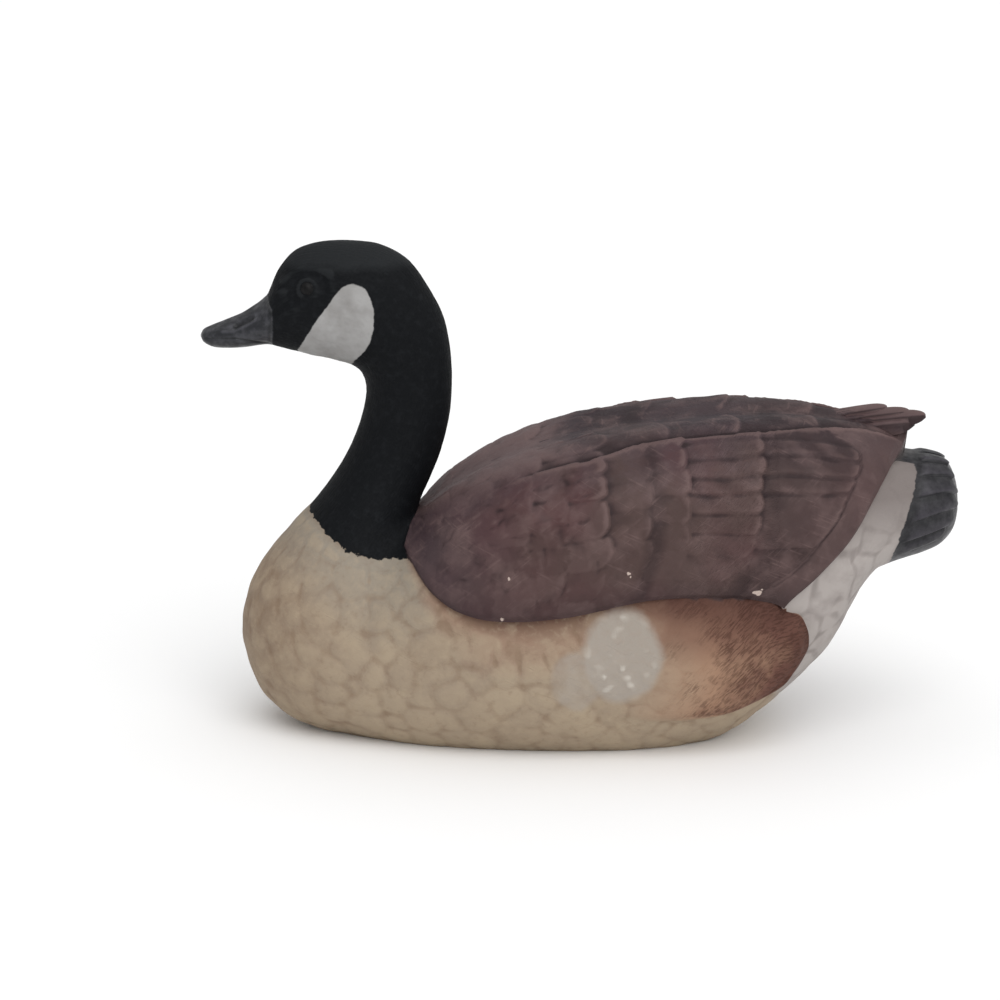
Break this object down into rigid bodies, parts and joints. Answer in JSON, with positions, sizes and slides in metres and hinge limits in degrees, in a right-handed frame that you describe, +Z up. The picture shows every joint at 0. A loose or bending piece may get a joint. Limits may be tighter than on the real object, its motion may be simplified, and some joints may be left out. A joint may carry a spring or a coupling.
{
  "type": "goose figurine",
  "caption": "Resting goose with an upright neck and folded, crossing wings, cast as one painted piece with carved feathers and a flat underside.",
  "frame": {"origin": "on the flat underside, under the middle of the overall length", "axes": "+X forward, towards the bill, +Y to the goose's left, +Z up"},
  "size_m": [0.328, 0.144, 0.2137],
  "materials": {
    "painted_resin": "hand-painted cast resin: satin black head, neck and tail, pale grey cheek and rump, buff breast and belly, purple-brown wings with dark washes in the feather grooves, small chips and one bare pale patch on the left flank"
  },
  "bodies": {
    "root": {"goose": "painted_resin"}
  },
  "joints": []
}
